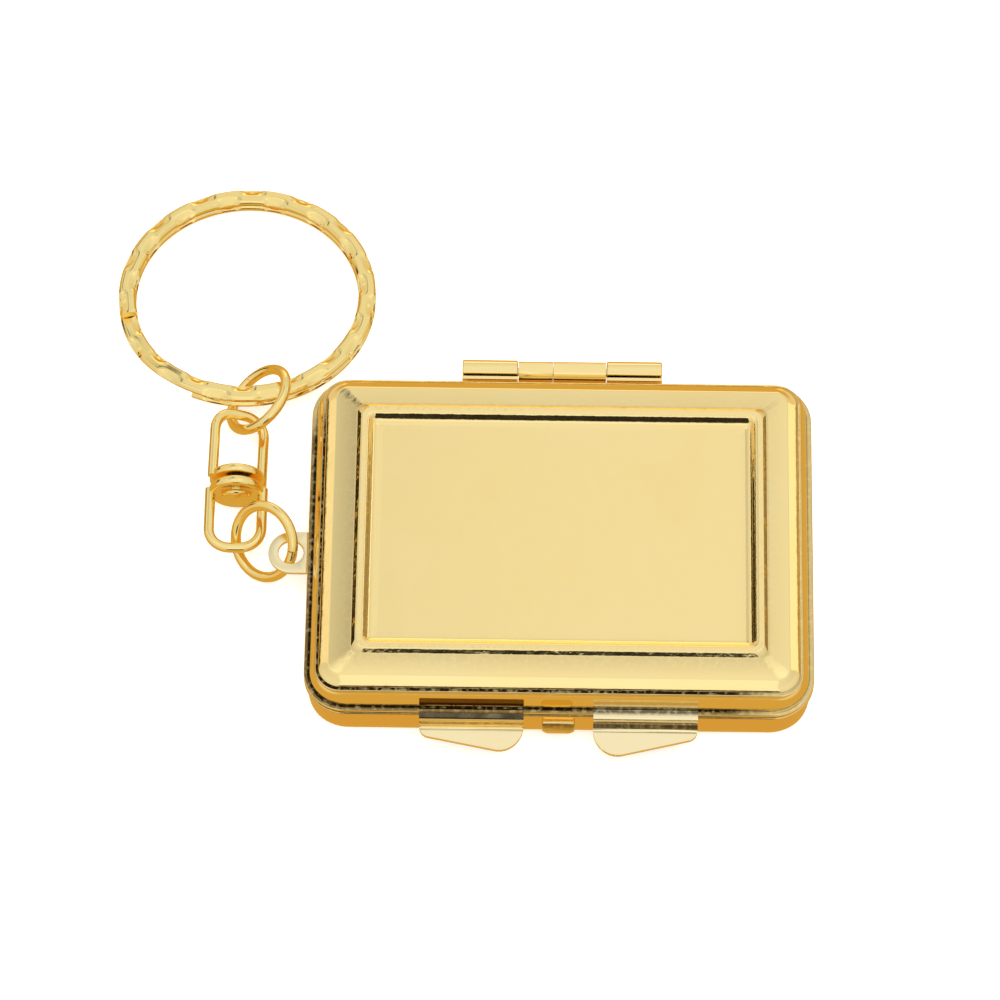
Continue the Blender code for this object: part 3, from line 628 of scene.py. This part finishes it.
def groupInputs(tree, sockets):
    # named inputs, and the output that every tree has
    for name, kind, value in sockets:
        socket = tree.interface.new_socket(name=name, in_out="INPUT", socket_type=kind)
        if value is not None:
            socket.default_value = value
    tree.interface.new_socket(name="Geometry", in_out="OUTPUT", socket_type="NodeSocketGeometry")
    return addNode(tree, "NodeGroupInput").outputs


def swept(tree, path, section):
    return addNode(tree, "GeometryNodeCurveToMesh", {"Curve": path, "Profile Curve": section,
                                                    "Fill Caps": True}).outputs["Mesh"]


def put(tree, geometry, inp):
    return addNode(tree, "GeometryNodeTransform", {"Geometry": geometry, "Translation": inp["Place"],
                                                  "Rotation": inp["Turn"]}).outputs["Geometry"]


def closeTree(tree, geometry, finish):
    real = addNode(tree, "GeometryNodeRealizeInstances", {"Geometry": geometry})
    done = addNode(tree, "GeometryNodeSetMaterial", {"Geometry": real.outputs["Geometry"],
                                                     "Material": finish})
    addNode(tree, "NodeGroupOutput", {"Geometry": done.outputs["Geometry"]})
    return tree


def runTree(name, tree, values, source=None):
    # one object per piece: its inputs are set by identifier, then the result becomes a plain mesh
    piece = newObject(name, source or bpy.data.meshes.new(name + " seed"))
    modifier = piece.modifiers.new("build", "NODES")
    modifier.node_group = tree
    for item in tree.interface.items_tree:
        if item.in_out == "INPUT" and item.name in values:
            modifier[item.identifier] = values[item.name]
    piece = applyAll(piece)
    bm = bmesh.new()
    bm.from_mesh(piece.data)
    bmesh.ops.remove_doubles(bm, verts=bm.verts, dist=0.0005 * mm)
    bmesh.ops.recalc_face_normals(bm, faces=bm.faces)
    bm.to_mesh(piece.data)
    bm.free()
    return smooth(piece, 40)


def jumpRingTree():
    # an arc that stops short of a full turn leaves the saw cut; the round section is swept along it
    tree = bpy.data.node_groups.new("jump ring", "GeometryNodeTree")
    inp = groupInputs(tree, [("Ring Radius", "NodeSocketFloat", 0.0036),
                             ("Wire Radius", "NodeSocketFloat", 0.0005),
                             ("Cut", "NodeSocketFloat", 0.03), ("Cut At", "NodeSocketFloat", 0.0),
                             ("Place", "NodeSocketVector", None), ("Turn", "NodeSocketRotation", None),
                             ("Finish", "NodeSocketMaterial", None)])
    sweep = maths(tree, "SUBTRACT", 2 * pi, inp["Cut"])
    arc = addNode(tree, "GeometryNodeCurveArc", {"Resolution": 97, "Radius": inp["Ring Radius"],
                                                "Start Angle": inp["Cut At"], "Sweep Angle": sweep})
    section = addNode(tree, "GeometryNodeCurvePrimitiveCircle",
                      {"Resolution": 24, "Radius": inp["Wire Radius"]})
    wire = swept(tree, arc.outputs["Curve"], section.outputs["Curve"])
    return closeTree(tree, put(tree, wire, inp), inp["Finish"])


def eyeWireTree():
    # the U of a swivel half, swept along the path that comes in
    tree = bpy.data.node_groups.new("bent wire", "GeometryNodeTree")
    inp = groupInputs(tree, [("Path", "NodeSocketGeometry", None), ("Wire Radius", "NodeSocketFloat", 0.0005),
                             ("Flatten", "NodeSocketFloat", 1.0), ("Finish", "NodeSocketMaterial", None)])
    even = addNode(tree, "GeometryNodeResampleCurve", {"Curve": inp["Path"], "Count": 90})
    section = addNode(tree, "GeometryNodeCurvePrimitiveCircle",
                      {"Resolution": 24, "Radius": inp["Wire Radius"]})
    squash = addNode(tree, "ShaderNodeCombineXYZ", {0: 1.0, 1: inp["Flatten"], 2: 1.0})
    oval = addNode(tree, "GeometryNodeTransform", {"Geometry": section.outputs["Curve"],
                                                  "Scale": squash.outputs[0]})
    wire = swept(tree, even.outputs["Curve"], oval.outputs["Geometry"])
    return closeTree(tree, wire, inp["Finish"])


def makeJumpRing(name, tree, place, axis, cutAt, body, node):
    turn = Vector(axis).to_track_quat("Z", "Y").to_euler()
    ring = runTree(name, tree, {"Ring Radius": jump["radius"] * mm, "Wire Radius": jump["wire"] * mm,
                                "Cut": jump["cut"] / jump["radius"], "Cut At": cutAt,
                                "Place": Vector(place) * mm, "Turn": turn, "Finish": wireGold})
    return settle(ring, body, [node])


def joined(name, pieces):
    # several closed parts of one node become one mesh
    bm = bmesh.new()
    for piece in pieces:
        bm.from_mesh(piece.data)
    mesh = bpy.data.meshes.new(name)
    bm.to_mesh(mesh)
    bm.free()
    mesh.materials.append(pieces[0].data.materials[0])
    dropAll(pieces)
    return newObject(name, mesh)


def makeEye(name, tree, length, direction, place, body, node):
    # the loop's ends go into the rim of the disc
    discY = direction * (eye["gap"] + eye["discThick"]) / 2
    w, c = eye["halfWidth"], eye["corner"]
    points = [(-w, discY - direction * 0.25)]
    for sx, start in ((-1, pi), (1, pi / 2)):
        for step in range(13):
            a = start - step / 12 * pi / 2
            points.append((sx * (w - c) + c * cos(a), discY + direction * (length - c + c * sin(a))))
    points.append((w, discY - direction * 0.25))
    curve = bpy.data.curves.new(name + " path", "CURVE")
    curve.dimensions = "3D"
    spline = curve.splines.new("POLY")
    spline.points.add(len(points) - 1)
    for point, (x, y) in zip(spline.points, points):
        point.co = (x * mm, y * mm, 0.0, 1.0)
    wire = runTree(name + "Wire", tree, {"Wire Radius": eye["wire"] * mm, "Flatten": 0.92,
                                         "Finish": wireGold}, curve)
    wire.data.transform(place)
    r, t = eye["disc"], eye["discThick"] / 2
    facing = Matrix.Translation((0, discY * mm, 0)) @ Matrix.Rotation(-pi / 2 * direction, 4, "X")
    profile = [(0.9, -t + 0.05), (0.95, -t), (r - 0.22, -t), (r - 0.08, -t + 0.06), (r, -t + 0.22),
               (r, t - 0.3),
               (r - 0.06, t - 0.12), (r - 0.2, t), (r - 0.55, t + 0.02), (r - 0.75, t - 0.12), (1.1,
                                                                                                t - 0.14),
               (0.9, t - 0.2), (0.9, -t + 0.05)]
    disc = turned(name + "Disc", profile, place @ facing, wireGold, 56)
    piece = joined(name, [wire, disc])
    return settle(smooth(piece, 40), body, [node])


def makeChain():
    ringTree, wireTree = jumpRingTree(), eyeWireTree()
    lowerAxis, upperAxis = (-0.577, -0.503, 0.644), (-0.63, 0.184, 0.754)
    makeJumpRing("lowerJumpRing", ringTree, (-29.45, 1.0, 3.4), lowerAxis, 0.5, "lower_ring",
                 "lower_jump_ring")
    makeJumpRing("upperJumpRing", ringTree, (-30.57, 17.24, 3.19), upperAxis, 3.9, "upper_ring",
                 "upper_jump_ring")
    axis = Matrix.Translation(Vector((-32.45, 7.65, 2.75)) * mm)
    makeEye("swivelLowerEye", wireTree, eye["lower"], -1, axis, "lower_swivel", "swivel_lower_eye")
    turn = Matrix.Rotation(radians(-0.7), 4, "Z") @ Matrix.Rotation(radians(23.8), 4, "Y")
    makeEye("swivelUpperEye", wireTree, eye["upper"], 1, axis @ turn, "upper_swivel", "swivel_upper_eye")
    reach = eye["gap"] / 2 + eye["discThick"] + 0.25
    head = [(0, reach + 0.5), (0.5, reach + 0.47), (0.95, reach + 0.36), (1.3, reach + 0.2),
            (1.48, reach + 0.04),
            (1.5, reach - 0.02), (1.46, reach - 0.06), (0.6, reach - 0.06)]
    profile = head + [(r, -z) for r, z in reversed(head)]
    rivet = turned("swivelRivet", profile, axis @ Matrix.Rotation(-pi / 2, 4, "X"), wireGold, 40)
    settle(rivet, "lower_swivel", ["swivel_rivet"])


makeChain()
print("swivel chain made")

# ---- split ring: flattened wire, nearly two turns, its top turn cut in waves

split = {"outer": 13.1, "band": 1.75, "coil": 0.76, "gap": 0.16, "x": -32.2, "y": 29.82, "tilt": 5.14,
         "start": 192.5, "crossing": 46.0, "endClear": 4.0, "edge": 0.24, "facets": 15, "facetDepth": 0.34}


def splitRingTree():
    tree = bpy.data.node_groups.new("split ring", "GeometryNodeTree")
    names = ["Radius", "Half Pitch", "Start", "Turn Total", "Cross From", "Cross To", "Band", "Coil", "Edge",
             "Facets", "Facet Depth"]
    inp = groupInputs(tree, [(n, "NodeSocketFloat", 0.001) for n in names] + [
        ("Place", "NodeSocketVector", None), ("Turn", "NodeSocketRotation", None),
        ("Finish", "NodeSocketMaterial", None)])
    line = addNode(tree, "GeometryNodeCurvePrimitiveLine", {"Start": (0, 0, 0), "End": (1, 0, 0)})
    even = addNode(tree, "GeometryNodeResampleCurve", {"Curve": line.outputs["Curve"], "Count": 620})
    along = addNode(tree, "GeometryNodeSplineParameter")
    turn = maths(tree, "MULTIPLY", along.outputs["Factor"], inp["Turn Total"])
    angle = maths(tree, "SUBTRACT", inp["Start"], turn)
    ease = spread(tree, turn, (inp["Cross From"], inp["Cross To"]), (1.0, -1.0),
                  interpolation_type="SMOOTHSTEP")
    x = maths(tree, "MULTIPLY", maths(tree, "COSINE", angle), inp["Radius"])
    y = maths(tree, "MULTIPLY", maths(tree, "SINE", angle), inp["Radius"])
    spot = addNode(tree, "ShaderNodeCombineXYZ", {0: x, 1: y, 2: maths(tree, "MULTIPLY", ease,
                                                                       inp["Half Pitch"])})
    coil = addNode(tree, "GeometryNodeSetPosition", {"Geometry": even.outputs["Curve"],
                                                    "Position": spot.outputs[0]})
    upright = addNode(tree, "GeometryNodeSetCurveNormal", {"Curve": coil.outputs["Geometry"]}, mode="Z_UP")
    keepAngle = addNode(tree, "GeometryNodeCaptureAttribute", {"Geometry": upright.outputs["Curve"]})
    keepAngle.capture_items.new("FLOAT", "Angle")
    tree.links.new(angle, keepAngle.inputs["Angle"])
    box = addNode(tree, "GeometryNodeCurvePrimitiveQuadrilateral",
                  {"Width": inp["Band"], "Height": inp["Coil"]})
    softBox = addNode(tree, "GeometryNodeFilletCurve", {"Curve": box.outputs["Curve"], "Radius": inp["Edge"]},
                      mode="POLY")
    finer = addNode(tree, "GeometryNodeResampleCurve", {"Curve": softBox.outputs["Curve"], "Count": 44})
    own = addNode(tree, "GeometryNodeInputPosition")
    keepSpot = addNode(tree, "GeometryNodeCaptureAttribute", {"Geometry": finer.outputs["Curve"]})
    keepSpot.capture_items.new("VECTOR", "Spot")
    tree.links.new(own.outputs[0], keepSpot.inputs["Spot"])
    wire = swept(tree, keepAngle.outputs["Geometry"], keepSpot.outputs["Geometry"])
    # the cutter dips at each facet: the outer upper edge and the inner one take turns
    part = addNode(tree, "ShaderNodeSeparateXYZ", {0: keepSpot.outputs["Spot"]}).outputs
    across = maths(tree, "DIVIDE", part["X"], maths(tree, "MULTIPLY", inp["Band"], 0.5))
    wave = maths(tree, "SINE", maths(tree, "MULTIPLY", keepAngle.outputs["Angle"], inp["Facets"]))
    cut = spread(tree, maths(tree, "MULTIPLY", wave, across), (0.0, 0.6), (0.0, 1.0))
    top = spread(tree, part["Y"], (0.0, -0.0003), (0.0, 1.0))
    deep = maths(tree, "MULTIPLY", maths(tree, "MULTIPLY", cut, top), inp["Facet Depth"])
    offset = addNode(tree, "ShaderNodeCombineXYZ", {2: maths(tree, "MULTIPLY", deep, -1.0)})
    waved = addNode(tree, "GeometryNodeSetPosition", {"Geometry": wire, "Offset": offset.outputs[0]})
    return closeTree(tree, put(tree, waved.outputs["Geometry"], inp), inp["Finish"])


def makeSplitRing():
    s = split
    crossFrom = 2 * pi - radians(s["crossing"] + s["endClear"])
    tilt = radians(s["tilt"])
    height = (s["coil"] + s["gap"] / 2) * cos(tilt) + s["outer"] * sin(tilt)
    ring = runTree("splitRing", splitRingTree(), {
        "Radius": (s["outer"] - s["band"] / 2) * mm, "Half Pitch": (s["coil"] + s["gap"]) / 2 * mm,
        "Start": radians(s["start"]), "Turn Total": crossFrom + 2 * pi - radians(s["endClear"]),
        "Cross From": crossFrom, "Cross To": crossFrom + radians(s["crossing"]), "Band": s["band"] * mm,
        "Coil": s["coil"] * mm, "Edge": s["edge"] * mm, "Facets": float(s["facets"]),
        "Facet Depth": s["facetDepth"] * mm, "Place": Vector((s["x"], s["y"], height)) * mm,
        "Turn": Euler((-tilt, 0, 0)), "Finish": wireGold})
    return settle(ring, "key_ring", ["split_ring"])


makeSplitRing()
print("split ring made")

# ---- key lug

lug = {"x": -26.7, "y": -0.7, "z": 4.24, "endX": -28.95, "half": 2.3, "hole": 1.26, "thick": 0.4,
       "root": -25.03, "legHalf": 1.5, "legLow": 2.9, "footThick": 0.7, "inside": -24.66}


def makeLug():
    bm = bmesh.new()
    outer = []
    steps = 40
    for step in range(steps + 1):
        a = pi / 2 + pi * step / steps
        outer.append((lug["endX"] + lug["half"] * (1 + cos(a)), lug["y"] + lug["half"] * sin(a)))
    for t in range(1, 7):
        outer.append((lug["endX"] + lug["half"] + (lug["root"] - lug["endX"] - lug["half"]) * t / 6,
                      lug["y"] - lug["half"]))
    for t in range(1, 8):
        outer.append((lug["root"], lug["y"] - lug["half"] + 2 * lug["half"] * t / 8))
    for t in range(6):
        outer.append((lug["root"] + (lug["endX"] + lug["half"] - lug["root"]) * t / 6,
                      lug["y"] + lug["half"]))
    rings = []
    for z in (lug["z"] - lug["thick"] / 2, lug["z"] + lug["thick"] / 2):
        edge = [bm.verts.new((x * mm, y * mm, z * mm)) for x, y in outer]
        hole = []
        for x, y in outer:
            a = atan2(y - lug["y"], x - lug["x"])
            hole.append(bm.verts.new(((lug["x"] + lug["hole"] * cos(a)) * mm,
                                      (lug["y"] + lug["hole"] * sin(a)) * mm,
                                      z * mm)))
        rings.append((edge, hole))
    count = len(outer)
    for i in range(count):
        j = (i + 1) % count
        (lowEdge, lowHole), (topEdge, topHole) = rings
        bm.faces.new((topEdge[i], topEdge[j], topHole[j], topHole[i]))
        bm.faces.new((lowEdge[i], lowHole[i], lowHole[j], lowEdge[j]))
        bm.faces.new((lowEdge[i], lowEdge[j], topEdge[j], topEdge[i]))
        bm.faces.new((lowHole[i], topHole[i], topHole[j], lowHole[j]))
    plate = applyAll(roundEdges(meshPiece("lugPlate", bm, lugGold), 0.08, 3, 50))
    bm = bmesh.new()
    under = lug["z"] - lug["thick"] / 2
    near, far = lug["y"] - lug["legHalf"], lug["y"] + lug["legHalf"]
    # the foot goes into the case wall, and the upright over it runs a little into the foot and the plate
    root, low, thick = lug["root"], lug["legLow"], lug["footThick"]
    block(bm, (root - 0.35, near, low), (lug["inside"], far, low + thick))
    block(bm, (root - 0.33, near + 0.02, low + thick - 0.04), (root + 0.01, far - 0.02, under + 0.02))
    leg = applyAll(roundEdges(meshPiece("lugLeg", bm, lugGold), 0.06, 3, 50))
    settle(joined("keyLug", [plate, leg]), "base", ["key_lug"])


makeLug()
print("lug made")

# ---- inside: tray, pads and mirror

refined("pillTray", "pill_tray", trayPlastic, 0.12, "base", 3, 30)
refined("trayPad", "tray_pad", padFoam, 0.05, "base")
refined("mirrorGlass", "mirror", mirrorGlass, 0.18, "lid", 2)
refined("mirrorPad", "mirror_pad", padFoam, 0.05, "lid")
print("inside made")

# ---- studio: pale floor, soft light, camera

studio = {"target": (-6.06, 5.17, 5.0), "elevation": 62.0, "azimuth": -0.85, "distance": 566.0, "lens": 204.7,
          "skyLevel": 0.95, "floorGlow": 0.45}


def makeFloor():
    bm = bmesh.new()
    size = 3.0
    bm.faces.new([bm.verts.new((x * size, y * size, 0)) for x, y in ((-1, -1), (1, -1), (1, 1), (-1, 1))])
    floor = meshPiece("studioFloor", bm)
    material = bpy.data.materials.new("white paper")
    material.use_nodes = True
    tree = material.node_tree
    shader = tree.nodes["Principled BSDF"]
    shader.inputs["Base Color"].default_value = toLinear("#FAFAF8")
    shader.inputs["Roughness"].default_value = 0.9
    shader.inputs["Specular IOR Level"].default_value = 0.1
    shader.inputs["Emission Color"].default_value = (1, 1, 1, 1)
    shader.inputs["Emission Strength"].default_value = studio["floorGlow"]
    # painted reflection: glossy rays see the floor as a warm glow, standing in for paper lit by light bounced
    # off the gold
    ray = addNode(tree, "ShaderNodeLightPath")
    paintedReflection = addNode(tree, "ShaderNodeEmission", {"Color": (0.68, 0.43, 0.11, 1.0), "Strength": 1.0})
    mix = addNode(tree, "ShaderNodeMixShader", {0: ray.outputs["Is Glossy Ray"], 1: shader.outputs[0],
                                               2: paintedReflection.outputs[0]})
    tree.links.new(mix.outputs[0], tree.nodes["Material Output"].inputs["Surface"])
    floor.data.materials.append(material)
    floor.location.z = -0.02 * mm


def direction(azimuth, elevation):
    # azimuth 0 is +Y, 90 is +X
    a, e = radians(azimuth), radians(elevation)
    return (sin(a) * cos(e), cos(a) * cos(e), sin(e))


def makeSky():
    # a bright tent with a few darker openings, which give the polished edges their dark lines
    world = bpy.data.worlds.new("light tent")
    bpy.context.scene.world = world
    world.use_nodes = True
    tree = world.node_tree
    background = tree.nodes["Background"]
    way = addNode(tree, "ShaderNodeTexCoord").outputs["Generated"]
    height = addNode(tree, "ShaderNodeSeparateXYZ", {0: way}).outputs["Z"]
    ramp = addNode(tree, "ShaderNodeValToRGB", {0: height})
    stops = [(0.0, (0.72, 0.50, 0.22)), (0.12, (0.88, 0.72, 0.46)), (0.45, (0.80, 0.79, 0.72)),
             (0.75, (0.90, 0.90, 0.86)), (0.95, (0.97, 0.97, 0.93))]
    while len(ramp.color_ramp.elements) < len(stops):
        ramp.color_ramp.elements.new(0.5)
    for element, (at, colour) in zip(ramp.color_ramp.elements, stops):
        element.position = at
        element.color = (*colour, 1.0)
    colour = ramp.outputs[0]
    # (azimuth, elevation, inner and outer radius in degrees, level)
    openings = [(180, 22, 10, 15, 0.03), (180, 46, 7, 14, 1.25), (-62, 3, 8, 13, 0.03), (-60, 20, 3, 7, 1.3),
                (62, 3, 7, 12, 0.4), (60, 18, 5, 10, 1.5), (49, 71, 5, 10, 1.2), (-49, 71, 5, 10, 1.2),
                (-17, 44, 2, 7, 0.2), (0, 6, 9, 18, 1.8), (-32, 56, 7, 18, 0.75)]
    for azimuth, elevation, inner, outer, level in openings:
        near = addNode(tree, "ShaderNodeVectorMath", {0: way, 1: direction(azimuth, elevation)},
                       operation="DOT_PRODUCT")
        edge = (cos(radians(outer)), cos(radians(inner)))
        mask = spread(tree, near.outputs["Value"], edge, (1.0, level), interpolation_type="SMOOTHSTEP")
        colour = addNode(tree, "ShaderNodeMix", {0: 1.0, 6: colour, 7: mask}, data_type="RGBA",
                         blend_type="MULTIPLY").outputs[2]
    tree.links.new(colour, background.inputs["Color"])
    background.inputs["Strength"].default_value = studio["skyLevel"]


def softLamp(name, spot, size, power):
    lamp = bpy.data.lights.new(name, "AREA")
    lamp.shape = "SQUARE"
    lamp.size = size
    lamp.energy = power
    item = newObject(name, lamp)
    item.location = spot
    item.rotation_euler = (Vector((0, 0, 0)) - Vector(spot)).to_track_quat("-Z", "Y").to_euler()
    item.visible_glossy = False


def makeCamera():
    camera = bpy.data.cameras.new("camera")
    camera.lens = studio["lens"]
    camera.sensor_width = 36
    camera.clip_start = 0.01
    view = newObject("camera", camera)
    a, e = radians(studio["azimuth"]), radians(studio["elevation"])
    forward = Vector((sin(a) * cos(e), cos(a) * cos(e), -sin(e)))
    view.location = (Vector(studio["target"]) - forward * studio["distance"]) * mm
    view.rotation_euler = forward.to_track_quat("-Z", "Y").to_euler()
    bpy.context.scene.camera = view


makeFloor()
makeSky()
softLamp("overhead softbox", (0.1, -0.1, 0.6), 0.5, 2.0)
softLamp("fill from the left", (-0.6, -0.3, 0.4), 0.4, 0.8)
makeCamera()
bpy.context.scene.view_settings.view_transform = "Standard"
print("studio made")
